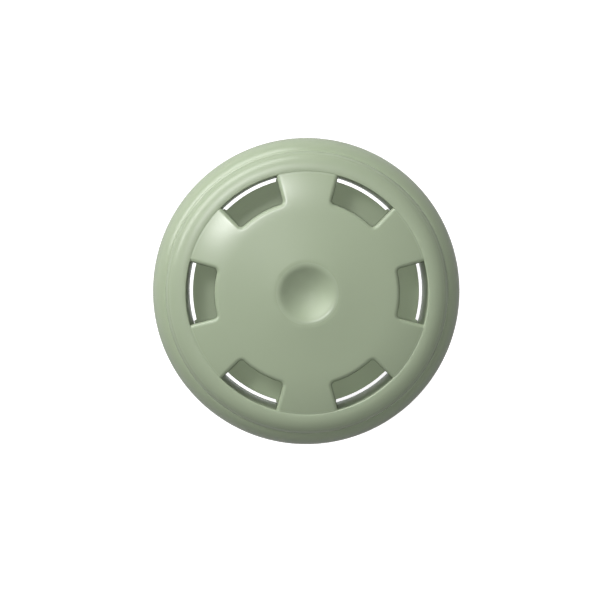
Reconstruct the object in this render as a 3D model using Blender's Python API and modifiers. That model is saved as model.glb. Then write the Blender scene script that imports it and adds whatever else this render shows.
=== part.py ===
"""Table-top wasp trap: a sage roof cap on a drain deck, screwed to a clear catch jar.

Wasps come in through six windows in the roof, walk over the deck and drop down the funnel into
the jar, where a bait cup holds the lure. Rain that falls through the windows runs off the sloped
deck and out of six drain slots at its edge, outside the jar.

Run with: blender --background --python part.py
The frame: +Z up, the origin on the axis of the jar, on the surface that the trap stands on.
"""

import math

import bpy

MM = 0.001  # every size below is in millimetres, and the meshes are in metres

# Driving dimensions
TURN_STEPS = 42  # facets round the large turned pieces
CUP_STEPS = 30  # facets round the pieces of the bait cup and the funnel
GAP = 0.3  # what touching pieces keep between them
WALL = 2.0  # wall of the sage mouldings
FOLD = 6  # windows, spokes, drain slots, tabs, pegs and bosses

# Roof cap
SKIRT_R = 60.0
SKIRT_TOP_R = 59.5
SKIRT_FOOT_Z = 97.0
BRIM_INNER_R = 54.1
BRIM_Z = 116.5
BRIM_SLOPE = math.tan(math.radians(41))
RING_CREST_R = 47.5
RING_OUTER_R = 53.8
RING_CREST_Z = 122.4
RING_FALL = 5.2
RING_INNER_R = 46.5
RING_INNER_Z = 122.1
WELL_FOOT_R = 45.9  # the wall inside the ring narrows to this at its foot
WELL_FOOT_Z = 98.0
WELL_WALL = 1.7
DOME_RIM_R = 13.0
DOME_RIM_Z = 126.9
CONE_SLOPE = math.tan(math.radians(5.5))
CONE_R = 30.5  # the shallow cone ends here and the dome falls to the ring
DOME_BEND = 0.0055  # how fast it falls, per mm squared
SPOKE_END_R = 47.8  # inside the ring's wall
DIMPLE_R = 10.6
DIMPLE_SPHERE_R = 15.5
DIMPLE_FLOOR_Z = 122.3
WINDOW_INNER_R = 35.2
WINDOW_HALF_SPAN = 15.0  # degrees
BOSS_R = 3.5
BOSS_BORE_R = 2.4
BOSS_FOOT_Z = 101.8
BOSS_BORE_TOP_Z = 112.0

# Drain deck with its screw collar
DECK_R = 44.4
DECK_EDGE_Z = 100.6
DECK_RISE = math.tan(math.radians(7))
DECK_FOOT_Z = 98.4
TAB_R = 45.6
TAB_HALF_SPAN = 15.25
PEG_CIRCLE_R = 40.4
PEG_R = 1.9
PEG_TOP_Z = 110.5
COLLAR_R = 41.0
COLLAR_BORE_R = 38.2
COLLAR_FOOT_Z = 84.5
SEAT_R = 23.4
SEAT_Z = 101.4
THROAT_R = 19.5

# Entry funnel
LIP_R = 17.2
LIP_Z = 108.4
FLANGE_R = 23.0
FLANGE_TOP_Z = 103.3
OUTLET_R = 6.5
OUTLET_Z = 63.4

# Catch jar and the thread that it shares with the collar
JAR_R = 42.0
JAR_WALL = 2.2
JAR_CORNER_R = 6.0
SHOULDER_Z = 75.0
NECK_R = 36.6
NECK_Z = 83.5
RIM_Z = 97.0
LOCATOR_R = 16.8
LOCATOR_Z = 7.0
PITCH = 4.0
THREAD_RIDGE_R = 1.1
THREAD_START_Z = 87.5
JAR_THREAD_TURNS = 1.25
COLLAR_THREAD_TURNS = 1.0
RIDGE_POINTS_PER_TURN = 36

# Bait cup, lid and pad
CUP_RIM_R = 18.2
CUP_RIM_Z = 25.0
CUP_FOOT_R = 16.3
CUP_FOOT_Z = 5.1
CUP_FLOOR_Z = 6.7
LID_TOP_Z = 26.9
KNOB_TOP_Z = 33.0
PAD_R = 13.2
PAD_TOP_Z = 12.6

SAGE = (0.36, 0.43, 0.29)
MATERIALS = {
    "sage_plastic": (SAGE, 0.42, 1.0),
    "clear_plastic": ((0.86, 0.9, 0.88), 0.08, 0.3),
    "silicone": ((0.78, 0.79, 0.76), 0.6, 1.0),
    "lure_felt": ((0.62, 0.5, 0.3), 0.95, 1.0),
}


def clear_scene():
    """Removes the startup objects and makes the collections of the parts and of the cutters."""
    for obj in list(bpy.data.objects):
        bpy.data.objects.remove(obj)
    for name in ("wasp_trap", "cutters"):
        bpy.context.scene.collection.children.link(bpy.data.collections.new(name))


def material(name):
    """The Principled material of that name, made the first time it is asked for."""
    made = bpy.data.materials.get(name)
    if made:
        return made
    colour, roughness, alpha = MATERIALS[name]
    made = bpy.data.materials.new(name)
    made.use_nodes = True
    shader = made.node_tree.nodes["Principled BSDF"]
    shader.inputs["Base Color"].default_value = (*colour, 1.0)
    shader.inputs["Roughness"].default_value = roughness
    shader.inputs["Metallic"].default_value = 0.0
    shader.inputs["Alpha"].default_value = alpha
    return made


def evaluated_mesh(obj):
    """A plain mesh of the object with its modifiers or its bevel applied."""
    graph = bpy.context.evaluated_depsgraph_get()
    return bpy.data.meshes.new_from_object(obj.evaluated_get(graph))


def turned(name, profile, steps=TURN_STEPS):
    """Sweeps a clockwise (radius, height) profile round Z. It is closed unless it starts on Z."""
    mesh = bpy.data.meshes.new(name)
    count = len(profile)
    edges = [(i, (i + 1) % count) for i in range(count)]
    if profile[0][0] == 0:
        edges.pop()
    mesh.from_pydata([(r * MM, 0, z * MM) for r, z in profile], edges, [])
    obj = bpy.data.objects.new(name, mesh)
    bpy.data.collections["cutters"].objects.link(obj)
    screw = obj.modifiers.new("turn", "SCREW")
    screw.steps = screw.render_steps = steps
    screw.use_merge_vertices = True
    screw.merge_threshold = 0.00001
    return baked(obj)


def baked(obj):
    """Swaps the object for a plain mesh with its modifiers applied, kept as a cutter for now."""
    mesh = evaluated_mesh(obj)
    name, world = obj.name, obj.matrix_world.copy()
    bpy.data.objects.remove(obj)
    made = bpy.data.objects.new(name, mesh)
    made.matrix_world = world
    bpy.data.collections["cutters"].objects.link(made)
    made.hide_render = True
    made.display_type = "WIRE"
    return made


def welded(obj):
    """The same for a curve, with its caps welded to its sides."""
    weld = obj.modifiers.new("weld", "WELD")
    weld.merge_threshold = 0.00001
    return baked(obj)


def curve(name, points, cyclic, dimensions):
    """A POLY curve object through points in millimetres."""
    data = bpy.data.curves.new(name, "CURVE")
    data.dimensions = dimensions
    spline = data.splines.new("POLY")
    spline.points.add(len(points) - 1)
    for point, place in zip(spline.points, points):
        point.co = (*(value * MM for value in place), 1.0)
    spline.use_cyclic_u = cyclic
    obj = bpy.data.objects.new(name, data)
    bpy.data.collections["cutters"].objects.link(obj)
    return obj


def sector(name, inner_r, outer_r, half_span, foot_z, top_z, middle):
    """A block with the outline of a ring's sector. Its middle is at that angle, in degrees."""
    turns = [half_span * step / 3 for step in range(-3, 4)]
    outline = [polar(outer_r, middle + turn) for turn in turns]
    outline += [polar(inner_r, middle + turn) for turn in reversed(turns)]
    obj = curve(name, [(x, y, 0) for x, y in outline], True, "2D")
    obj.data.fill_mode = "BOTH"
    obj.data.extrude = (top_z - foot_z) / 2 * MM
    obj.location.z = (top_z + foot_z) / 2 * MM
    bpy.context.view_layer.update()
    return welded(obj)


def ridge(name, centre_r, start_z, start_turn, turns):
    """A half-buried round thread ridge: a tube along a right-handed helix."""
    count = round(turns * RIDGE_POINTS_PER_TURN)
    path = []
    for step in range(count + 1):
        turn = start_turn + turns * step / count
        x, y = polar(centre_r, 360 * turn)
        path.append((x, y, start_z + PITCH * (turn - start_turn)))
    obj = curve(name, path, False, "3D")
    obj.data.bevel_depth = THREAD_RIDGE_R * MM
    obj.data.bevel_resolution = 2
    obj.data.use_fill_caps = True
    return welded(obj)


def rod(name, radius, foot_z, top_z, circle_r, angle, sides=12):
    """An upright cylinder whose axis stands on a circle round Z."""
    x, y = polar(circle_r, angle)
    bpy.ops.mesh.primitive_cylinder_add(
        vertices=sides,
        radius=radius * MM,
        depth=(top_z - foot_z) * MM,
        location=(x * MM, y * MM, (top_z + foot_z) / 2 * MM),
        rotation=(0, 0, math.radians(angle)),
    )
    obj = bpy.context.object
    obj.name = name
    for collection in list(obj.users_collection):
        collection.objects.unlink(obj)
    bpy.data.collections["cutters"].objects.link(obj)
    obj.hide_render = True
    obj.display_type = "WIRE"
    return obj


def boolean(obj, other, operation):
    """Joins, cuts or trims obj with another solid."""
    modifier = obj.modifiers.new(other.name, "BOOLEAN")
    modifier.operation = operation
    modifier.object = other
    modifier.solver = "EXACT"


def piece(obj, name, material_name):
    """Finishes a sub-part: applies its modifiers, names it, and puts it with the parts."""
    done = baked(obj)
    done.name = name
    done.data.materials.append(material(material_name))
    done.data.shade_smooth()
    done.data.set_sharp_from_angle(angle=math.radians(32))
    bpy.data.collections["cutters"].objects.unlink(done)
    bpy.data.collections["wasp_trap"].objects.link(done)
    done.hide_render = False
    done.display_type = "TEXTURED"
    return done


def polar(radius, degrees):
    """(x, y) of a point at that radius and angle."""
    return radius * math.cos(math.radians(degrees)), radius * math.sin(math.radians(degrees))


def bow(centre_r, centre_z, width, height, start, end, count=4):
    """Points of an ellipse in the profile's plane, from one angle to another, both included."""
    turns = [math.radians(start + (end - start) * step / count) for step in range(count + 1)]
    return [(centre_r + width * math.cos(t), centre_z + height * math.sin(t)) for t in turns]


def window_angles():
    return [360 / FOLD * index for index in range(FOLD)]


def spoke_angles():
    return [360 / FOLD * (index + 0.5) for index in range(FOLD)]


def dome_z(radius):
    """Height of the roof's top outside the dimple: a shallow cone that bends down to the ring."""
    z = DOME_RIM_Z - CONE_SLOPE * (radius - DOME_RIM_R)
    return z - DOME_BEND * max(0, radius - CONE_R) ** 2


def roof_ring():
    """Skirt, brim and ring of the roof, with the well wall that hangs inside the ring."""
    ring_side_z = RING_CREST_Z - RING_FALL
    top = [(RING_INNER_R, RING_INNER_Z)]
    top += bow(RING_CREST_R, ring_side_z, RING_OUTER_R - RING_CREST_R, RING_FALL, 90, 0, 5)
    top += [(r, BRIM_Z - BRIM_SLOPE * (r - BRIM_INNER_R)) for r in (BRIM_INNER_R, 57.4)]
    top += [(SKIRT_TOP_R - 0.5, BRIM_Z - 5.1), (SKIRT_TOP_R, BRIM_Z - 7.9), (SKIRT_R, SKIRT_FOOT_Z)]
    channel_r = RING_OUTER_R - WALL
    under = [(SKIRT_R - WALL, SKIRT_FOOT_Z), (SKIRT_TOP_R - WALL, BRIM_Z - 8.3)]
    under += [(SKIRT_TOP_R - 3.3, BRIM_Z - 4.9), (channel_r, BRIM_Z - 1.3)]
    under += bow(RING_CREST_R, ring_side_z, channel_r - RING_CREST_R, RING_FALL - WALL, 0, 90, 2)
    under.append((RING_INNER_R + WELL_WALL, ring_side_z + 2))
    under += [(WELL_FOOT_R + WELL_WALL, WELL_FOOT_Z), (WELL_FOOT_R, WELL_FOOT_Z)]
    return turned("roof_ring", top + under)


def dimple_z(radius, sphere_r):
    """Height of a bowl about the dimple's own centre."""
    centre_z = DIMPLE_FLOOR_Z + DIMPLE_SPHERE_R
    return centre_z - math.sqrt(sphere_r**2 - radius**2)


def roof_spider():
    """The dome with its dimple, and the spokes that the six windows leave of it."""
    top = [(r, dimple_z(r, DIMPLE_SPHERE_R)) for r in (0, 4, 7.4, DIMPLE_R)]
    outer = [DOME_RIM_R, 22, CONE_R, 35, 40, 44, SPOKE_END_R]
    top += [(r, dome_z(r)) for r in outer]
    under = [(r, dome_z(r) - WALL) for r in (SPOKE_END_R, 44, 40, 35, CONE_R, 22)]
    under += [(r, dimple_z(r, DIMPLE_SPHERE_R + WALL)) for r in (12, 8, 4, 0)]
    spider = turned("roof_spider", top + under)
    for index, angle in enumerate(window_angles()):
        cutter = sector(f"window_{index}", WINDOW_INNER_R, 53, WINDOW_HALF_SPAN, 105, 140, angle)
        boolean(spider, cutter, "DIFFERENCE")
    return baked(spider)


def roof_bosses():
    """Six tubes under the spokes, trimmed to the middle of the dome's wall."""
    outline = [0, 15, CONE_R, 35, 40, 44, SPOKE_END_R]
    under_dome = [(r, dome_z(r) - WALL / 2) for r in outline]
    room = turned("under_dome", [*under_dome, (SPOKE_END_R, 90), (0, 90)])
    bosses = []
    for index, angle in enumerate(spoke_angles()):
        boss = rod(f"boss_{index}", BOSS_R, BOSS_FOOT_Z, 130, PEG_CIRCLE_R, angle)
        boolean(boss, room, "INTERSECT")
        bosses.append(baked(boss))
    return bosses


def roof_cap():
    """One moulding: skirt, ring, dome and the bosses that sit over the deck's pegs."""
    roof = roof_ring()
    boolean(roof, roof_spider(), "UNION")
    for boss in roof_bosses():
        boolean(roof, boss, "UNION")
    for index, angle in enumerate(spoke_angles()):
        bore = rod(f"boss_bore_{index}", BOSS_BORE_R, 95, BOSS_BORE_TOP_Z, PEG_CIRCLE_R, angle)
        boolean(roof, bore, "DIFFERENCE")
    return piece(roof, "roof_cap", "sage_plastic")


def deck_z(radius):
    """Height of the deck's top, which falls outwards so that rain runs off it."""
    return DECK_EDGE_Z + DECK_RISE * (DECK_R - radius)


def drain_deck():
    """The sloped deck with six tabs and pegs, and the collar that screws on the jar."""
    seal_seat_z = RIM_Z + 1.9
    profile = [
        (SEAT_R, deck_z(SEAT_R)),
        (DECK_R, DECK_EDGE_Z),
        (DECK_R, DECK_FOOT_Z),
        (COLLAR_R, DECK_FOOT_Z),
        (COLLAR_R, COLLAR_FOOT_Z + 0.6),
        (COLLAR_R - 0.6, COLLAR_FOOT_Z),
        (COLLAR_BORE_R, COLLAR_FOOT_Z),
        (COLLAR_BORE_R, seal_seat_z),
        (33.0, seal_seat_z),
        (26.5, SEAT_Z - 1.8),
        (THROAT_R, SEAT_Z - 1.8),
        (THROAT_R, SEAT_Z),
        (SEAT_R, SEAT_Z),
    ]
    deck = turned("deck", profile)
    for index, angle in enumerate(spoke_angles()):
        foot_z, top_z = DECK_FOOT_Z + 0.2, DECK_EDGE_Z - 0.2
        tab = sector(f"tab_{index}", 42.5, TAB_R, TAB_HALF_SPAN, foot_z, top_z, angle)
        boolean(deck, tab, "UNION")
        peg = rod(f"peg_{index}", PEG_R, DECK_FOOT_Z + 1, PEG_TOP_Z, PEG_CIRCLE_R, angle)
        boolean(deck, peg, "UNION")
    start_turn = JAR_THREAD_TURNS - COLLAR_THREAD_TURNS
    start_z = THREAD_START_Z + PITCH * (start_turn - 0.5)
    boolean(deck, ridge("collar_ridge", COLLAR_BORE_R, start_z, start_turn, COLLAR_THREAD_TURNS), "UNION")
    return piece(deck, "drain_deck", "sage_plastic")


def entry_funnel():
    """Funnel that drops into the deck's throat. Its lip keeps rain out of the jar."""
    profile = [
        (LIP_R - 0.6, LIP_Z - 0.4),
        (LIP_R, LIP_Z),
        (LIP_R + 0.7, LIP_Z - 0.4),
        (LIP_R + 1.2, FLANGE_TOP_Z),
        (FLANGE_R, FLANGE_TOP_Z),
        (FLANGE_R, SEAT_Z + GAP),
        (LIP_R - 0.3, SEAT_Z + GAP),
        (OUTLET_R + 1.5, OUTLET_Z + 0.6),
        (OUTLET_R + 1.1, OUTLET_Z),
        (OUTLET_R, OUTLET_Z),
    ]
    return piece(turned("funnel", profile, CUP_STEPS), "entry_funnel", "sage_plastic")


def seal_ring():
    """Flat silicone ring between the jar's rim and the deck."""
    foot_z = RIM_Z + GAP
    top_z = foot_z + 1.3
    inner_r, outer_r = 33.6, COLLAR_BORE_R - 0.4
    profile = [(inner_r, top_z), (outer_r, top_z), (outer_r, foot_z), (inner_r, foot_z)]
    return piece(turned("seal", profile), "seal_ring", "silicone")


def catch_jar():
    """Clear jar with a threaded neck, a raised ring for the bait cup and a ring foot."""
    bore_r = JAR_R - JAR_WALL
    neck_bore_r = NECK_R - JAR_WALL
    corner_r = JAR_R - JAR_CORNER_R
    inside = [(0, 4.8), (LOCATOR_R, 4.6), (LOCATOR_R, LOCATOR_Z), (LOCATOR_R + 1.4, LOCATOR_Z)]
    inside.append((LOCATOR_R + 1.4, 4.5))
    inside += bow(corner_r - 2, 7.5, bore_r - corner_r + 2, 3.6, -90, 0, 3)
    inside += bow(neck_bore_r, SHOULDER_Z, bore_r - neck_bore_r, NECK_Z - SHOULDER_Z - 1.5, 0, 70, 3)
    inside += [(neck_bore_r, NECK_Z), (neck_bore_r, RIM_Z - 0.4), (neck_bore_r + 0.4, RIM_Z)]
    outside = [(NECK_R - 0.4, RIM_Z), (NECK_R, RIM_Z - 0.4), (NECK_R, NECK_Z)]
    outside += bow(NECK_R, SHOULDER_Z, JAR_R - NECK_R, NECK_Z - SHOULDER_Z - 0.5, 65, 0, 3)
    outside += bow(corner_r, JAR_CORNER_R, JAR_CORNER_R, JAR_CORNER_R, 0, -90, 3)
    outside += [(31.5, 0), (29.5, 1.6), (0, 2.4)]
    jar = turned("jar", inside + outside)
    boolean(jar, ridge("jar_ridge", NECK_R, THREAD_START_Z, 0, JAR_THREAD_TURNS), "UNION")
    return piece(jar, "catch_jar", "clear_plastic")


def bait_cup():
    """Cup that stands inside the raised ring of the jar's floor."""
    profile = [
        (0, CUP_FLOOR_Z),
        (CUP_FOOT_R - 1.7, CUP_FLOOR_Z),
        (CUP_RIM_R - 2.1, CUP_RIM_Z - 0.4),
        (CUP_RIM_R - 1.8, CUP_RIM_Z),
        (CUP_RIM_R, CUP_RIM_Z),
        (CUP_RIM_R, CUP_RIM_Z - 1.2),
        (CUP_RIM_R - 0.7, CUP_RIM_Z - 1.4),
        (CUP_FOOT_R, CUP_FOOT_Z + 0.5),
        (CUP_FOOT_R - 0.5, CUP_FOOT_Z),
        (0, CUP_FOOT_Z),
    ]
    return piece(turned("cup", profile, CUP_STEPS), "bait_cup", "sage_plastic")


def bait_lid():
    """Lid of the bait cup, with six scent slots and a knob to lift it by."""
    foot_z = CUP_RIM_Z + GAP
    plug_r = 15.4
    profile = [
        (0, KNOB_TOP_Z),
        (2.5, KNOB_TOP_Z - 0.5),
        (3.4, KNOB_TOP_Z - 1.9),
        (2.2, KNOB_TOP_Z - 3.8),
        (2.4, LID_TOP_Z),
        (CUP_RIM_R - 0.3, LID_TOP_Z),
        (CUP_RIM_R + 0.2, LID_TOP_Z - 0.5),
        (CUP_RIM_R + 0.2, foot_z),
        (plug_r, foot_z),
        (plug_r - 0.2, foot_z - 2.5),
        (plug_r - 1.4, foot_z - 2.5),
        (plug_r - 1.4, foot_z),
        (0, foot_z),
    ]
    lid = turned("lid", profile, CUP_STEPS)
    for index, angle in enumerate(window_angles()):
        boolean(lid, sector(f"scent_slot_{index}", 6.3, 12.1, 13.4, 22, 29, angle + 0.7), "DIFFERENCE")
    return piece(lid, "bait_lid", "sage_plastic")


def lure_pad():
    """Felt disc in the cup that soaks up the lure."""
    foot_z = CUP_FLOOR_Z + GAP
    profile = [(0, PAD_TOP_Z), (PAD_R - 0.5, PAD_TOP_Z), (PAD_R, PAD_TOP_Z - 0.5)]
    profile += [(PAD_R, foot_z), (0, foot_z)]
    return piece(turned("pad", profile, CUP_STEPS), "lure_pad", "lure_felt")


def main():
    clear_scene()
    roof_cap()
    drain_deck()
    entry_funnel()
    seal_ring()
    catch_jar()
    bait_cup()
    bait_lid()
    lure_pad()


main()
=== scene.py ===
"""Looks of the table-top wasp trap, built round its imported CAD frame.

Every piece is made here again at a fine resolution, with fillets, threads and grips, and rides on
the CAD body that it belongs to. Sizes in the functions are millimetres; meshes are in metres.
"""

import math

import bmesh  # noqa: E402
import bpy  # noqa: E402
import numpy as np  # noqa: E402
from mathutils import Matrix, Vector, geometry  # noqa: E402


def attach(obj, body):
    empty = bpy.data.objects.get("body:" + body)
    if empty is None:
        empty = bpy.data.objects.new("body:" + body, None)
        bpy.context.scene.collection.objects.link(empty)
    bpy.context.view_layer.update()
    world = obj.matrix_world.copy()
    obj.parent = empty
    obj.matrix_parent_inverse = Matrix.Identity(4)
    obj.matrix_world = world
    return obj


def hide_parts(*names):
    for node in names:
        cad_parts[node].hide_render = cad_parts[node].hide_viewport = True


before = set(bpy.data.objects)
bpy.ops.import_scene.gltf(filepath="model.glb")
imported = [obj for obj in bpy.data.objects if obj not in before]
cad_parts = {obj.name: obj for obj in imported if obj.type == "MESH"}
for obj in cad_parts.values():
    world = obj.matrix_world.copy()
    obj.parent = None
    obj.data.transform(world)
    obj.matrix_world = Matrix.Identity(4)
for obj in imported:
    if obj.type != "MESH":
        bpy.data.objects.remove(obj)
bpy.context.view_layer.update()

MM = 0.001
STEPS = 360  # columns round the large turned pieces
FEWER_STEPS = 180  # columns round the small ones
WINDOWS = 6  # and as many spokes, bosses, pegs, tabs and scent slots
SECTOR = 360 // WINDOWS  # degrees from one window to the next

# Roof: skirt, brim, ring and well wall
ROOF_R = 59.83
SKIRT_FOOT_Z = 97.0
SKIRT_WALL = 1.9
BRIM_CENTRE_R, BRIM_CENTRE_Z = 51.5, 106.2  # ellipse of the brim's slope
BRIM_HEIGHT = 10.4
BRIM_INNER_R = 54.9
BRIM_UNDER_R, BRIM_UNDER_Z = 54.1, 110.9  # ellipse of its underside
BRIM_UNDER_HEIGHT = 3.6
RING_INNER_R = 46.3
RING_EDGE = 0.5  # round of the ring's inner edge
RING_CREST_Z = 122.26
RING_CENTRE_R, RING_CENTRE_Z = 47.1, 116.66  # ellipse of the ring's outer flank
RING_WIDTH, RING_HEIGHT = 7.3, 5.6
RING_OUTER_R = 54.3
RING_UNDER_R, RING_UNDER_Z = 47.5, 117.1  # ellipse of its underside
RING_UNDER_WIDTH, RING_UNDER_HEIGHT = 4.3, 3.2
RING_UNDER_END_Z = 119.1
CREVICE_R, CREVICE_Z = 54.62, 116.1  # ellipse of the groove between ring and brim
CREVICE_WIDTH, CREVICE_DEPTH = 0.3, 0.38
WELL_FOOT_R, WELL_FOOT_Z = 45.8, 98.0
WELL_WALL = 1.5
PLATE = 2.0

# Roof: dome, dimple, windows and bosses
DOME_TOP_Z = 126.85
CONE_SLOPE = math.tan(math.radians(5.5))
CONE_START_R = 13.0
CONE_R = 30.5  # outside it the dome bends down further
DOME_BEND = 0.0055
DIMPLE_R = 10.2
DIMPLE_DEPTH = 4.5
DIMPLE_SOFTNESS = 0.45
DIMPLE_REACH_R = 15.0
SPOKE_END_R = 47.4
WINDOW_INNER_R = 35.4
WINDOW_HALF_SPAN = math.radians(15.1)
WINDOW_CORNER = 1.5
ROLL = 1.6  # how far from a window its edge begins to roll over
UNDER_ROLL = 0.35
EDGE_GAIN = 0.55  # extra thickness where the edge has rolled over
BOSS_CIRCLE_R = 40.4

# Deck, jar and thread
DECK_R = 44.5
DECK_EDGE_Z = 100.6
DECK_SLOPE = math.tan(math.radians(7))
DECK_UNDER_Z = 98.4
DECK_THROAT_R = 23.4
TAB_R = 45.6
TAB_HALF_SPAN = 15.25  # degrees
TAB_START_R = 43.4
COLLAR_R = 41.0
COLLAR_BORE_R = 38.2
COLLAR_FOOT_Z = 84.5
GRIP_COUNT, GRIP_DEPTH = 60, 0.45
PITCH = 4.0
THREAD_START_Z = 87.5
THREAD_DEPTH, THREAD_BORE_DEPTH = 1.0, 0.95  # ridges on the neck and in the collar
JAR_R = 42.0
NECK_R = 36.6
NECK_BORE_R = 34.4
JAR_RIM_Z = 97.0

# Colours, and the rings of other gloss on the roof: from and to which radius in metres, and what
# they add to the roughness there
SAGE = (0.338, 0.399, 0.279)
# The second sage is the same plastic made lighter: painted light that lifts the deck, funnel, cup and lid, which
# lie in shade under the roof
SAGE_PAINTED_LIGHTER = (0.375, 0.445, 0.305)
ROOF_GLOSS = ((0.006, 0.012, 0.3, 0.0), (0.0458, 0.0465, 0.0, 0.1), (0.050, 0.053, 0.0, -0.1))

# Camera
LENS = 115.2
CAMERA_TILT, CAMERA_WAY = math.radians(2.8), math.radians(114)
CAMERA_DISTANCE = 750.0
TARGET = Vector((-2.47, -3.38, 105.0))


# ---------------------------------------------------------------- mesh helpers
def add_object(name, points, faces):
    """A smooth-shaded mesh object from points in millimetres."""
    mesh = bpy.data.meshes.new(name)
    mesh.from_pydata([tuple(c * MM for c in p) for p in points], [], faces)
    mesh.validate()
    obj = bpy.data.objects.new(name, mesh)
    bpy.context.scene.collection.objects.link(obj)
    return obj


def finish_shading(obj, angle=34):
    """Makes the faces point outwards, and shades smooth up to that edge angle."""
    work = bmesh.new()
    work.from_mesh(obj.data)
    bmesh.ops.recalc_face_normals(work, faces=work.faces)
    work.to_mesh(obj.data)
    work.free()
    obj.data.shade_smooth()
    obj.data.set_sharp_from_angle(angle=math.radians(angle))


def rounded(corners, steps=5):
    """A (r, z) path whose corners (r, z, fillet) are replaced with arcs."""
    path = []
    count = len(corners)
    for index, (r, z, fillet) in enumerate(corners):
        if not fillet:
            path.append((r, z))
            continue
        here = Vector((r, z))
        before = Vector(corners[index - 1][:2])
        after = Vector(corners[(index + 1) % count][:2])
        a, b = (before - here).normalized(), (after - here).normalized()
        half = a.angle(b) / 2
        reach = fillet / math.tan(half)
        centre = here + (a + b).normalized() * fillet / math.sin(half)
        start, end = here + a * reach - centre, here + b * reach - centre
        turn = start.angle_signed(end)
        for step in range(steps + 1):
            t = -turn * step / steps
            c, s = math.cos(t), math.sin(t)
            path.append((centre.x + start.x * c - start.y * s, centre.y + start.x * s + start.y * c))
    return path


def ellipse(centre_r, centre_z, width, height, start, end, count):
    """Points of an ellipse in the profile's plane between two angles in degrees."""
    turns = np.radians(np.linspace(start, end, count))
    return [(centre_r + width * math.cos(t), centre_z + height * math.sin(t)) for t in turns]


def split(path, longest=1.5):
    """The closed path with its long straight runs divided, so that shading stays even."""
    out = []
    for (r0, z0), (r1, z1) in zip(path, path[1:] + path[:1]):
        out.append((r0, z0))
        if r0 == 0 and r1 == 0:
            continue
        pieces = int(math.hypot(r1 - r0, z1 - z0) // longest)
        for step in range(1, pieces + 1):
            t = step / (pieces + 1)
            out.append((r0 + (r1 - r0) * t, z0 + (z1 - z0) * t))
    return out


def swept(name, path, steps=STEPS, bend=None, columns=None):
    """Sweeps a closed (r, z) path round Z. bend(r, z, angle, row) may move each point."""
    angles = columns if columns is not None else [360 * i / steps for i in range(steps)]
    points, faces, rings = [], [], []
    for row, (r, z) in enumerate(path):
        if r <= 1e-6:
            rings.append([len(points)] * len(angles))
            points.append((0, 0, z))
            continue
        ring = []
        for angle in angles:
            rr, zz = bend(r, z, angle, row) if bend else (r, z)
            ring.append(len(points))
            points.append((*on_circle(rr, math.radians(angle)), zz))
        rings.append(ring)
    n = len(angles)
    closed = rings if path[0][0] > 1e-6 else rings[:-1]
    for row in range(len(closed)):
        a, b = rings[row], rings[(row + 1) % len(rings)]
        for i in range(n):
            j = (i + 1) % n
            quad = [a[i], a[j], b[j], b[i]]
            quad = [v for k, v in enumerate(quad) if v != quad[k - 1]]
            if len(set(quad)) > 2:
                faces.append(quad)
    return add_object(name, points, faces)


def combine(target, others, operation, solver):
    """Joins closed meshes to the target, or cuts them out of it, and applies the result."""
    for other in others:
        modifier = target.modifiers.new("combine", "BOOLEAN")
        modifier.operation = operation
        modifier.solver = solver
        modifier.object = other
    graph = bpy.context.evaluated_depsgraph_get()
    mesh = bpy.data.meshes.new_from_object(target.evaluated_get(graph))
    target.modifiers.clear()
    target.data = mesh
    for other in others:
        bpy.data.objects.remove(other)
    return target


def on_circle(r, angle):
    """x and y of a point at that radius and angle in radians."""
    return r * math.cos(angle), r * math.sin(angle)


def smooth(t):
    """0 below 0, 1 above 1, and an even curve between."""
    t = min(max(t, 0.0), 1.0)
    return t * t * (3 - 2 * t)


# ---------------------------------------------------------------- roof
def dome_z(r):
    """Top of the dome, with its dimple, before the windows' edges roll over."""
    z = DOME_TOP_Z - CONE_SLOPE * max(0, r - CONE_START_R)
    z -= DOME_BEND * max(0, r - CONE_R) ** 2
    return z - dimple(r)


def dimple(r):
    """Depth of the bowl at that radius, with a soft rim."""
    if r >= DIMPLE_REACH_R:
        return 0.0
    bowl = DIMPLE_DEPTH * (1 - (r / DIMPLE_R) ** 2)
    return DIMPLE_SOFTNESS * math.log1p(math.exp(bowl / DIMPLE_SOFTNESS))


def roll(distance, radius=ROLL):
    """How far an edge has rounded over at that distance from the window."""
    if distance >= radius:
        return 0.0
    return radius - math.sqrt(radius**2 - (radius - distance) ** 2)


def window_loop(distance, middle, side_points=26, corner_points=7, arc_points=28):
    """The window's outline, moved outwards by that distance, from one ring end to the other."""
    c, d = WINDOW_CORNER, distance
    along = math.sqrt((WINDOW_INNER_R + c) ** 2 - c**2)
    delta = math.asin(c / (WINDOW_INNER_R + c))
    end = math.sqrt(SPOKE_END_R**2 - d**2)
    u = (math.cos(WINDOW_HALF_SPAN), math.sin(WINDOW_HALF_SPAN))
    n = (-u[1], u[0])
    centre = (along * u[0] - c * n[0], along * u[1] - c * n[1])
    half = []
    for i in range(side_points):
        t = end + (along - end) * i / side_points
        half.append((t * u[0] + d * n[0], t * u[1] + d * n[1]))
    for i in range(corner_points):
        t = WINDOW_HALF_SPAN + math.pi / 2 + (math.pi / 2 - delta) * i / corner_points
        x, y = on_circle(c + d, t)
        half.append((centre[0] + x, centre[1] + y))
    inner = WINDOW_HALF_SPAN - delta
    arc = [on_circle(WINDOW_INNER_R - d, inner - 2 * inner * i / arc_points) for i in range(arc_points + 1)]
    loop = half + arc + [(x, -y) for x, y in reversed(half)]
    s, k = math.sin(middle), math.cos(middle)
    return [(x * k - y * s, x * s + y * k) for x, y in loop]


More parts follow.
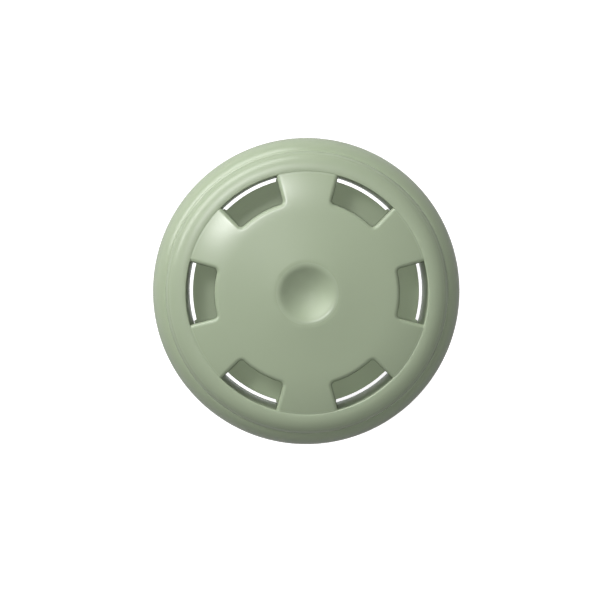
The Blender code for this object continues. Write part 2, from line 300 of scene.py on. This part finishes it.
def spider_plan():
    """2D points, faces and distance-to-window of the dome and spokes, seen from above."""
    flat_from = ROLL + 0.1
    distances = [ROLL * (1 - math.cos(math.radians(a))) for a in range(0, 96, 12)] + [flat_from]
    points, faces, depth = [], [], []
    outer_loops = []
    for index in range(WINDOWS):
        middle = math.radians(SECTOR * index)
        rows = []
        for d in distances:
            loop = window_loop(d, middle)
            rows.append(list(range(len(points), len(points) + len(loop))))
            points += loop
            depth += [d] * len(loop)
        for a, b in zip(rows, rows[1:]):
            faces += [[a[i], b[i], b[i + 1], a[i + 1]] for i in range(len(a) - 1)]
        outer_loops.append(rows[-1])
    # The boundary of what is left: each window's outer loop, then the arc to the next window.
    boundary = []
    arc_points = 26
    for index, loop in enumerate(outer_loops):
        boundary += list(reversed(loop))
        x0, y0 = points[loop[0]]
        x1, y1 = points[outer_loops[(index + 1) % WINDOWS][-1]]
        a0, a1 = math.atan2(y0, x0), math.atan2(y1, x1)
        if a1 < a0:
            a1 += 2 * math.pi
        for i in range(1, arc_points):
            boundary.append(len(points))
            points.append(on_circle(SPOKE_END_R, a0 + (a1 - a0) * i / arc_points))
            depth.append(flat_from)
    # Rings of points fill it, closer together at the dimple's rim.
    wide, close = 0.7, 0.45
    inner = [(0.0, 0.0)]
    r = 0.55
    while r < SPOKE_END_R - 0.4:
        count = max(8, round(2 * math.pi * r / 0.75))
        for i in range(count):
            t = 2 * math.pi * (i + 0.5 * (round(r / wide) % 2)) / count
            if clear_of_windows(r, t, flat_from + close):
                inner.append(on_circle(r, t))
        r += close if 8 < r < DIMPLE_REACH_R else wide
    local = [Vector(points[i]) for i in boundary] + [Vector(p) for p in inner]
    outline = list(range(len(boundary)))
    result = geometry.delaunay_2d_cdt(local, [], [outline], 1, 1e-6)
    index_of = []
    for i, (co, origin) in enumerate(zip(result[0], result[3])):
        if origin and origin[0] < len(boundary):
            index_of.append(boundary[origin[0]])
        else:
            index_of.append(len(points))
            points.append((co.x, co.y))
            depth.append(ROLL + 1)
    faces += [[index_of[i] for i in face] for face in result[2]]
    return points, faces, depth


def clear_of_windows(r, t, margin):
    """Whether a point at (r, angle) is at least that far outside every window."""
    t = (t + math.pi / WINDOWS) % (2 * math.pi / WINDOWS) - math.pi / WINDOWS
    x, y = on_circle(r, t)
    side = -x * math.sin(WINDOW_HALF_SPAN) + abs(y) * math.cos(WINDOW_HALF_SPAN)
    return side > margin or r < WINDOW_INNER_R - margin


def spider():
    """The dome and its spokes as a closed plate whose window edges roll over."""
    plan, faces, depth = spider_plan()
    count = len(plan)
    top = [(x, y, dome_z(math.hypot(x, y)) - roll(d)) for (x, y), d in zip(plan, depth)]
    under = []
    for (x, y), d in zip(plan, depth):
        z = dome_z(math.hypot(x, y)) - PLATE - EDGE_GAIN
        under.append((x, y, z + EDGE_GAIN * smooth((d - 0.2) / ROLL) + roll(d, UNDER_ROLL)))
    # Walls join the two skins along every edge that only one face uses.
    used = {}
    for face in faces:
        for a, b in zip(face, face[1:] + face[:1]):
            used.setdefault((min(a, b), max(a, b)), []).append((a, b))
    walls = []
    for uses in used.values():
        if len(uses) == 1:
            a, b = uses[0]
            walls.append([b, a, a + count, b + count])
    skins = list(faces) + [[i + count for i in reversed(face)] for face in faces]
    return add_object("spider", top + under, skins + walls)


def roof_ring():
    """Skirt, brim, ring and the well wall inside it."""
    edge_r, edge_z = RING_INNER_R + RING_EDGE, RING_CREST_Z - RING_EDGE
    path = ellipse(edge_r, edge_z, RING_EDGE, RING_EDGE, 180, 80, 9)
    start, end = (
        math.degrees(math.acos((r - RING_CENTRE_R) / RING_WIDTH)) for r in (edge_r + 0.15, RING_OUTER_R)
    )
    path += ellipse(RING_CENTRE_R, RING_CENTRE_Z, RING_WIDTH, RING_HEIGHT, start, end, 34)
    path += ellipse(CREVICE_R, CREVICE_Z, CREVICE_WIDTH, CREVICE_DEPTH, 185, 275, 7)
    brim_width = ROOF_R - BRIM_CENTRE_R
    start = math.degrees(math.acos((BRIM_INNER_R - BRIM_CENTRE_R) / brim_width))
    path += ellipse(BRIM_CENTRE_R, BRIM_CENTRE_Z, brim_width, BRIM_HEIGHT, start, 0, 34)
    # The first and last corner of the skirt's foot and of the well's only give a direction.
    foot = [
        (ROOF_R, SKIRT_FOOT_Z + 11, 0), (ROOF_R, SKIRT_FOOT_Z, 0.9),
        (ROOF_R - SKIRT_WALL, SKIRT_FOOT_Z, 0.7), (ROOF_R - SKIRT_WALL - 0.4, SKIRT_FOOT_Z + 13, 0),
    ]
    path += rounded(foot)[1:-1]
    under_width = ROOF_R - SKIRT_WALL - 0.5 - BRIM_UNDER_R
    path += ellipse(BRIM_UNDER_R, BRIM_UNDER_Z, under_width, BRIM_UNDER_HEIGHT, 0, 90, 12)
    path += ellipse(RING_UNDER_R, RING_UNDER_Z, RING_UNDER_WIDTH, RING_UNDER_HEIGHT, 0, 90, 12)
    path += [(RING_INNER_R + WELL_WALL + 0.1, RING_UNDER_END_Z)]
    well = [
        (RING_INNER_R + WELL_WALL, WELL_FOOT_Z + 12, 0), (WELL_FOOT_R + WELL_WALL, WELL_FOOT_Z, 0.5),
        (WELL_FOOT_R, WELL_FOOT_Z, 0.5), (RING_INNER_R, edge_z, 0),
    ]
    path += rounded(well)[1:-1]
    return swept("roof", split(path))


def moved(obj, angle):
    """Moves a small turned piece out to the circle of bosses, at that angle in degrees."""
    x, y = on_circle(BOSS_CIRCLE_R, math.radians(angle))
    for vertex in obj.data.vertices:
        vertex.co.x += x * MM
        vertex.co.y += y * MM
    return obj


def boss(angle):
    """A blind tube under a spoke, whose top is buried in the plate."""
    above = 200.0  # stands for the plate's height until the boss is in its place
    profile = [
        (0, 112.0), (2.4, 112.0), (2.4, 102.4), (2.8, 101.8), (3.2, 101.8), (3.5, 102.1), (3.6, above), (0, above),
    ]
    obj = moved(swept("boss", profile, 48), angle)
    for vertex in obj.data.vertices:
        if vertex.co.z > 0.75 * above * MM:
            vertex.co.z = (dome_z(math.hypot(vertex.co.x, vertex.co.y) / MM) - PLATE / 2) * MM
    return oriented(obj)


def oriented(obj):
    """Merges doubled points and turns the faces outwards, as the booleans need."""
    work = bmesh.new()
    work.from_mesh(obj.data)
    bmesh.ops.remove_doubles(work, verts=work.verts, dist=1e-7)
    bmesh.ops.recalc_face_normals(work, faces=work.faces)
    if work.calc_volume(signed=True) < 0:
        bmesh.ops.reverse_faces(work, faces=work.faces)
    work.to_mesh(obj.data)
    work.free()
    return obj


def make_roof():
    """Skirt, brim and ring, joined with the dome, its spokes and the bosses under them."""
    bosses = [boss(SECTOR * (index + 0.5)) for index in range(WINDOWS)]
    return combine(oriented(roof_ring()), [oriented(spider()), *bosses], "UNION", "MANIFOLD")


# ---------------------------------------------------------------- deck and funnel
def thread(angle, z, start_turn, turns, start_z):
    """Height of a thread ridge's flank, from 0 to 1, at that angle and height."""
    best = 0.0
    for lap in range(-1, 3):
        turn = angle / 360 + lap
        if not start_turn <= turn <= start_turn + turns:
            continue
        ends = min(turn - start_turn, start_turn + turns - turn)
        offset = abs(z - (start_z + PITCH * turn))
        flank = smooth((1.15 - offset) / 0.8)
        best = max(best, flank * smooth(ends / 0.05))
    return best


def deck_z(r):
    """Top of the sloped deck."""
    return DECK_EDGE_Z + DECK_SLOPE * (DECK_R - r)


def tab_columns():
    """Angles round the deck, every half degree and closer together at the sides of the tabs."""
    angles = set()
    for index in range(WINDOWS):
        middle = SECTOR * (index + 0.5)
        for side in (-1, 1):
            edge = middle + side * TAB_HALF_SPAN
            for offset in (-0.5, -0.22, 0.0, 0.22, 0.5):
                angles.add(round((edge + offset) % 360, 3))
    near = sorted(angles)
    for half_degrees in range(720):
        angle = half_degrees / 2
        if min(min(abs(angle - b), 360 - abs(angle - b)) for b in near) > 0.3:
            angles.add(angle)
    return sorted(angles)


def make_deck():
    """Sloped deck, its tabs and pegs, and the screw collar with its grip and inner thread."""
    under = DECK_UNDER_Z
    path = [(DECK_THROAT_R, deck_z(DECK_THROAT_R)), (TAB_START_R, deck_z(TAB_START_R))]
    rim_top = len(path)
    path += [(DECK_R - 0.25, DECK_EDGE_Z), (DECK_R, DECK_EDGE_Z - 0.25), (DECK_R, 98.9), (DECK_R - 0.3, under)]
    rim_end = len(path)
    path += [(COLLAR_R + 0.6, under), (COLLAR_R, 97.8), (COLLAR_R, 96.4)]
    grip_top = len(path)
    path += [(COLLAR_R, z) for z in np.linspace(96.0, 86.2, 12)]
    grip_end = len(path)
    path += [(COLLAR_R, 85.6), (COLLAR_R - 0.25, 84.85), (COLLAR_R - 0.7, COLLAR_FOOT_Z)]
    path += [(COLLAR_BORE_R + 0.5, COLLAR_FOOT_Z), (COLLAR_BORE_R, 85.0)]
    bore_top = len(path)
    path += [(COLLAR_BORE_R, z) for z in np.linspace(85.2, 93.5, 42)]
    bore_end = len(path)
    path += [(COLLAR_BORE_R, 98.4), (COLLAR_BORE_R - 0.5, 98.9), (33.3, 98.9), (26.5, 99.6), (19.7, 99.6)]
    path += [(19.5, 99.8), (19.5, 101.2), (19.7, 101.4), (23.1, 101.4), (DECK_THROAT_R, 101.7)]

    def bend(r, z, angle, row):
        if rim_top <= row < rim_end:
            off = abs((angle % SECTOR) - SECTOR / 2)
            r += (TAB_R - DECK_R) * smooth((TAB_HALF_SPAN - off) / 0.4 + 0.5)
            return r, z
        if grip_top <= row < grip_end:
            fade = smooth((row - grip_top) / 1.5) * smooth((grip_end - 1 - row) / 1.5)
            wave = 0.5 + 0.5 * math.cos(math.radians(angle * GRIP_COUNT))
            return r - GRIP_DEPTH * fade * (1 - wave**2), z
        if bore_top <= row < bore_end:
            return r - THREAD_BORE_DEPTH * thread(angle, z, 0.25, 1.0, THREAD_START_Z - PITCH / 2), z
        return r, z

    deck = oriented(swept("deck", path, bend=bend, columns=tab_columns()))
    peg = [(0, 110.5), (1.2, 110.5), (1.75, 109.8), (1.9, 108.8), (1.9, 99.5), (0, 99.5)]
    pegs = [oriented(moved(swept("peg", peg, 32), SECTOR * (index + 0.5))) for index in range(WINDOWS)]
    return combine(deck, pegs, "UNION", "MANIFOLD")


def make_funnel():
    """Loose funnel with a rain lip, a flange that rests on the deck and a narrow outlet."""
    corners = [
        (16.5, 108.2, 0.5), (17.4, 108.4, 0.4), (18.3, 103.3, 0.6), (23.0, 103.3, 0.5), (23.0, 101.7, 0.4),
        (16.9, 101.7, 0.8), (8.0, 63.9, 0.3), (7.4, 63.4, 0.3), (6.5, 63.4, 0.3),
    ]
    return oriented(swept("funnel", split(rounded(corners)), FEWER_STEPS))


def make_seal():
    """Flat ring between the jar's rim and the deck."""
    corners = [(33.6, 98.6, 0.25), (37.8, 98.6, 0.25), (37.8, 97.3, 0.25), (33.6, 97.3, 0.25)]
    return oriented(swept("seal", split(rounded(corners))))


# ---------------------------------------------------------------- jar, cup, lid, pad
def make_jar():
    """Clear jar with its thread ridge, rounded shoulder, raised locating ring and ring foot."""
    inside = [(0, 4.8), (16.6, 4.62)]
    locating_ring = [(16.8, 4.6, 0), (16.8, 7.0, 0.3), (18.2, 7.0, 0.4), (18.2, 4.5, 0.5), (34.0, 3.9, 0)]
    inside += rounded(locating_ring)[1:-1]
    inside += ellipse(34.0, 7.5, 5.8, 3.6, -90, 0, 10)
    inside += ellipse(NECK_BORE_R, 75.0, 5.4, 7.0, 4, 75, 12)
    inside += [(NECK_BORE_R, 83.6), (NECK_BORE_R, 96.4), (34.6, 96.85), (35.0, JAR_RIM_Z)]
    outside = [(36.0, JAR_RIM_Z), (36.4, 96.85), (NECK_R, 96.4)]
    thread_top = len(inside) + len(outside)
    outside += [(NECK_R, z) for z in np.linspace(95.0, 85.6, 48)]
    thread_end = len(inside) + len(outside)
    outside += [(NECK_R, 84.4)]
    outside += ellipse(NECK_R, 75.0, 5.4, 8.0, 78, 0, 14)
    outside += [(JAR_R, z) for z in (66.0, 50.0, 34.0, 18.0)]
    outside += ellipse(36.0, 6.0, 6.0, 6.0, 0, -90, 12)
    outside += [(31.7, 0), (31.0, 0.3), (29.6, 1.6), (20, 2.0), (0, 2.4)]

    def bend(r, z, angle, row):
        if thread_top <= row < thread_end:
            r += THREAD_DEPTH * thread(angle, z, 0.0, 1.25, THREAD_START_Z)
        return r, z

    return oriented(swept("jar", inside + outside, bend=bend))


def make_cup():
    """Cup for the lure, with a turned-out rim."""
    corners = [
        (0, 6.7, 0), (14.6, 6.7, 1.2), (16.1, 24.6, 0.2), (16.4, 25.0, 0.2), (18.1, 25.0, 0.3),
        (18.1, 23.7, 0.3), (17.4, 23.5, 0.3), (16.3, 5.6, 0.3), (15.8, 5.1, 0.3), (0, 5.1, 0),
    ]
    return oriented(swept("cup", split(rounded(corners)), FEWER_STEPS))


def make_lid():
    """Lid with a knob, a locating rib and six scent slots cut through it."""
    corners = [
        (0, 33.0, 0), (2.5, 32.9, 0.8), (3.4, 31.1, 0.8), (2.2, 29.2, 0.8), (2.4, 26.9, 0.6), (18.1, 26.9, 0.5),
        (18.3, 25.3, 0.2), (15.4, 25.3, 0.1), (15.2, 22.8, 0.3), (14.0, 22.8, 0.3), (14.0, 25.3, 0.3), (0, 25.3, 0),
    ]
    lid = oriented(swept("lid", split(rounded(corners)), 240))
    half_span = math.radians(13.2)
    cutters = []
    for index in range(WINDOWS):
        middle = math.radians(SECTOR * index)
        outline = []
        for radius, sign in ((12.1, 1), (6.3, -1)):
            outline += [on_circle(radius, middle + sign * half_span * (2 * i / 12 - 1)) for i in range(13)]
        count = len(outline)
        points = [(x, y, 22.0) for x, y in outline] + [(x, y, 30.0) for x, y in outline]
        faces = [list(range(count)), list(range(count, 2 * count))]
        faces += [[i, (i + 1) % count, (i + 1) % count + count, i + count] for i in range(count)]
        cutters.append(oriented(add_object("slot_cutter", points, faces)))
    combine(lid, cutters, "DIFFERENCE", "EXACT")
    # The cuts leave slivers, which would open the mesh.
    work = bmesh.new()
    work.from_mesh(lid.data)
    bmesh.ops.remove_doubles(work, verts=work.verts, dist=0.004 * MM)
    bmesh.ops.dissolve_degenerate(work, edges=work.edges, dist=0.002 * MM)
    work.to_mesh(lid.data)
    work.free()
    return lid


def make_pad():
    """Felt disc with a slightly uneven, fuzzy surface."""
    path = split(rounded([(0, 12.5, 0), (13.1, 12.5, 0.9), (13.1, 7.1, 0.7), (0, 7.1, 0)]), 0.5)

    def bend(r, z, angle, row):
        a = math.radians(angle)
        wave = math.sin(3 * a + r) * math.sin(5 * a - 0.7 * r) + math.sin(11 * a + 1.9 * r)
        side = 0.06 * math.sin(17 * a + 2 * z) * (r > 12)
        return r - abs(side), z - (0.05 + 0.05 * wave * (z > 10)) * (z > 8)

    return oriented(swept("pad", path, FEWER_STEPS, bend=bend))


# ---------------------------------------------------------------- materials
def socket(node, name, value):
    """Sets an input of a shader node."""
    node.inputs[name].default_value = value


def new_material(name):
    made = bpy.data.materials.new(name)
    made.use_nodes = True
    nodes = made.node_tree.nodes
    return made, nodes, made.node_tree.links, nodes["Principled BSDF"]


def noise(nodes, links, coords, scale, detail, rough=0.5):
    made = nodes.new("ShaderNodeTexNoise")
    socket(made, "Scale", scale)
    socket(made, "Detail", detail)
    socket(made, "Roughness", rough)
    links.new(coords, made.inputs["Vector"])
    return made.outputs["Fac"]


def remap(nodes, links, value, low, high, start=0.3, end=0.7):
    made = nodes.new("ShaderNodeMapRange")
    socket(made, "From Min", start)
    socket(made, "From Max", end)
    socket(made, "To Min", low)
    socket(made, "To Max", high)
    links.new(value, made.inputs["Value"])
    return made.outputs["Result"]


def mixed(nodes, links, value, first, second):
    made = nodes.new("ShaderNodeMix")
    made.data_type = "RGBA"
    made.inputs[6].default_value = (*first, 1)
    made.inputs[7].default_value = (*second, 1)
    links.new(value, made.inputs["Factor"])
    return made.outputs[2]


def bump(nodes, links, height, strength, distance):
    made = nodes.new("ShaderNodeBump")
    socket(made, "Strength", strength)
    socket(made, "Distance", distance)
    links.new(height, made.inputs["Height"])
    return made.outputs["Normal"]


def moulded_plastic(name, colour, roughness, subsurface=0.0, rings=()):
    """Satin moulded plastic: fine spark texture, faint flow mottling and uneven gloss."""
    made, nodes, links, shader = new_material(name)
    coords = nodes.new("ShaderNodeTexCoord").outputs["Object"]
    mottle = noise(nodes, links, coords, 45, 3)
    darker = tuple(c * 0.992 for c in colour)
    lighter = tuple(min(1, c * 1.006) for c in colour)
    tone = mixed(nodes, links, remap(nodes, links, mottle, 0, 1), darker, lighter)
    links.new(tone, shader.inputs["Base Color"])
    haze = noise(nodes, links, coords, 160, 4, 0.6)
    gloss = remap(nodes, links, haze, roughness - 0.003, roughness + 0.003)
    if rings:
        flat = nodes.new("ShaderNodeVectorMath")
        flat.operation = "MULTIPLY"
        flat.inputs[1].default_value = (1, 1, 0)
        links.new(coords, flat.inputs[0])
        reach = nodes.new("ShaderNodeVectorMath")
        reach.operation = "LENGTH"
        links.new(flat.outputs["Vector"], reach.inputs[0])
        for start, end, low, high in rings:
            matt = remap(nodes, links, reach.outputs["Value"], low, high, start, end)
            total = nodes.new("ShaderNodeMath")
            links.new(gloss, total.inputs[0])
            links.new(matt, total.inputs[1])
            gloss = total.outputs["Value"]
    links.new(gloss, shader.inputs["Roughness"])
    grain = noise(nodes, links, coords, 2600, 2)
    links.new(bump(nodes, links, grain, 0.05, 0.00003), shader.inputs["Normal"])
    socket(shader, "IOR", 1.5)
    if subsurface:
        socket(shader, "Subsurface Weight", subsurface)
        socket(shader, "Subsurface Radius", (1.0, 1.0, 0.8))
        socket(shader, "Subsurface Scale", 0.0015)
    return made


def clear_plastic():
    made, nodes, links, shader = new_material("clear_plastic")
    coords = nodes.new("ShaderNodeTexCoord").outputs["Object"]
    haze = noise(nodes, links, coords, 30, 3)
    links.new(remap(nodes, links, haze, 0.03, 0.09), shader.inputs["Roughness"])
    flow = noise(nodes, links, coords, 55, 2)
    links.new(bump(nodes, links, flow, 0.1, 0.0004), shader.inputs["Normal"])
    socket(shader, "Base Color", (0.94, 0.965, 0.95, 1))
    socket(shader, "Transmission Weight", 1.0)
    socket(shader, "IOR", 1.46)
    return made


def silicone():
    made, nodes, links, shader = new_material("silicone")
    coords = nodes.new("ShaderNodeTexCoord").outputs["Object"]
    dust = noise(nodes, links, coords, 220, 4)
    tone = mixed(nodes, links, remap(nodes, links, dust, 0, 1), (0.74, 0.75, 0.72), (0.80, 0.81, 0.78))
    links.new(tone, shader.inputs["Base Color"])
    links.new(remap(nodes, links, dust, 0.5, 0.62), shader.inputs["Roughness"])
    socket(shader, "Subsurface Weight", 0.25)
    socket(shader, "Subsurface Scale", 0.002)
    return made


def felt():
    made, nodes, links, shader = new_material("lure_felt")
    coords = nodes.new("ShaderNodeTexCoord").outputs["Object"]
    fibres = noise(nodes, links, coords, 1400, 5, 0.7)
    stain = noise(nodes, links, coords, 70, 3)
    tone = mixed(nodes, links, remap(nodes, links, stain, 0, 1), (0.50, 0.37, 0.19), (0.67, 0.55, 0.34))
    links.new(tone, shader.inputs["Base Color"])
    links.new(bump(nodes, links, fibres, 0.8, 0.0005), shader.inputs["Normal"])
    socket(shader, "Roughness", 0.95)
    socket(shader, "Sheen Weight", 0.4)
    return made


# ---------------------------------------------------------------- stage
def area_light(name, azimuth, elevation, distance, size, energy, diffuse=True, gloss=True):
    """A softbox at that direction from the trap, facing it."""
    data = bpy.data.lights.new(name, "AREA")
    data.shape = "RECTANGLE"
    data.size, data.size_y = size
    data.energy = energy
    obj = bpy.data.objects.new(name, data)
    bpy.context.scene.collection.objects.link(obj)
    a, e = math.radians(azimuth), math.radians(elevation)
    way = Vector((math.cos(e) * math.cos(a), math.cos(e) * math.sin(a), math.sin(e)))
    obj.location = Vector((0, 0, 0.1)) + way * distance
    obj.rotation_euler = way.to_track_quat("Z", "Y").to_euler()
    obj.visible_diffuse, obj.visible_glossy = diffuse, gloss
    return obj


def make_stage():
    """Pale floor that hardly takes a shadow, as under a product shot on white."""
    bpy.ops.mesh.primitive_circle_add(vertices=96, radius=3.0, fill_type="NGON", location=(0, 0, -0.0002))
    floor = bpy.context.object
    floor.name = "floor"
    made, nodes, links, shader = new_material("floor")
    socket(shader, "Base Color", (0.5, 0.5, 0.5, 1))
    socket(shader, "Roughness", 0.9)
    socket(shader, "Emission Color", (1, 1, 1, 1))
    rays = nodes.new("ShaderNodeLightPath")
    seen = nodes.new("ShaderNodeMath")
    seen.operation = "MAXIMUM"
    links.new(rays.outputs["Is Camera Ray"], seen.inputs[0])
    links.new(rays.outputs["Is Transmission Ray"], seen.inputs[1])
    glow = remap(nodes, links, seen.outputs["Value"], 0.12, 0.93, 0, 1)
    links.new(glow, shader.inputs["Emission Strength"])
    floor.data.materials.append(made)

    world = bpy.data.worlds.new("studio")
    bpy.context.scene.world = world
    world.use_nodes = True
    back = world.node_tree.nodes["Background"]
    socket(back, "Color", (1, 1, 1, 1))
    socket(back, "Strength", 0.06)

    area_light("key", 132, 62, 1.3, (0.25, 0.25), 3.7, gloss=False)
    area_light("shine", 126, 64.6, 1.3, (0.5, 0.16), 9.5, diffuse=False)
    area_light("side", 130, 22, 1.3, (1.6, 0.5), 18.5)
    area_light("overhead", 112, 87.7, 0.77, (0.02, 0.02), 2.45, gloss=False)
    scene = bpy.context.scene
    scene.view_settings.view_transform = "Standard"
    scene.view_settings.look = "None"


def make_camera():
    """Almost straight above the roof, leaning a little towards its back."""
    data = bpy.data.cameras.new("camera")
    data.sensor_width = 36.0
    data.lens = LENS
    obj = bpy.data.objects.new("camera", data)
    bpy.context.scene.collection.objects.link(obj)
    side = on_circle(CAMERA_DISTANCE * math.sin(CAMERA_TILT), CAMERA_WAY)
    place = Vector((*side, TARGET.z + CAMERA_DISTANCE))
    obj.location = place * MM
    back = (place - TARGET).normalized()
    right = Vector((0, 1, 0)).cross(back).normalized()
    up = back.cross(right)
    obj.rotation_euler = Matrix((right, up, back)).transposed().to_euler()
    bpy.context.scene.camera = obj


# ---------------------------------------------------------------- the trap
make_camera()
make_stage()
sage = moulded_plastic("sage_plastic", SAGE, 0.27, 0.08, ROOF_GLOSS)
# A lighter copy of the sage for the pieces under the roof, painting in light where they lie in shade
sage_painted_lighter = moulded_plastic("sage_plastic_painted_lighter", SAGE_PAINTED_LIGHTER, 0.65, 0.08)
PIECES = [
    ("roof_cap", "roof", "sage_plastic", make_roof, sage),
    ("drain_deck", "head", "sage_plastic", make_deck, sage_painted_lighter),
    ("entry_funnel", "head", "sage_plastic", make_funnel, sage_painted_lighter),
    ("seal_ring", "seal", "silicone", make_seal, silicone()),
    ("catch_jar", "jar", "clear_plastic", make_jar, clear_plastic()),
    ("bait_cup", "cup", "sage_plastic", make_cup, sage_painted_lighter),
    ("bait_lid", "lid", "sage_plastic", make_lid, sage_painted_lighter),
    ("lure_pad", "cup", "lure_felt", make_pad, felt()),
]
for node, body, slot, make, material in PIECES:
    piece = make()
    finish_shading(piece)
    piece.name = node + "_skin"
    piece.data.materials.clear()
    piece.data.materials.append(material)
    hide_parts(node)
    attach(piece, body)
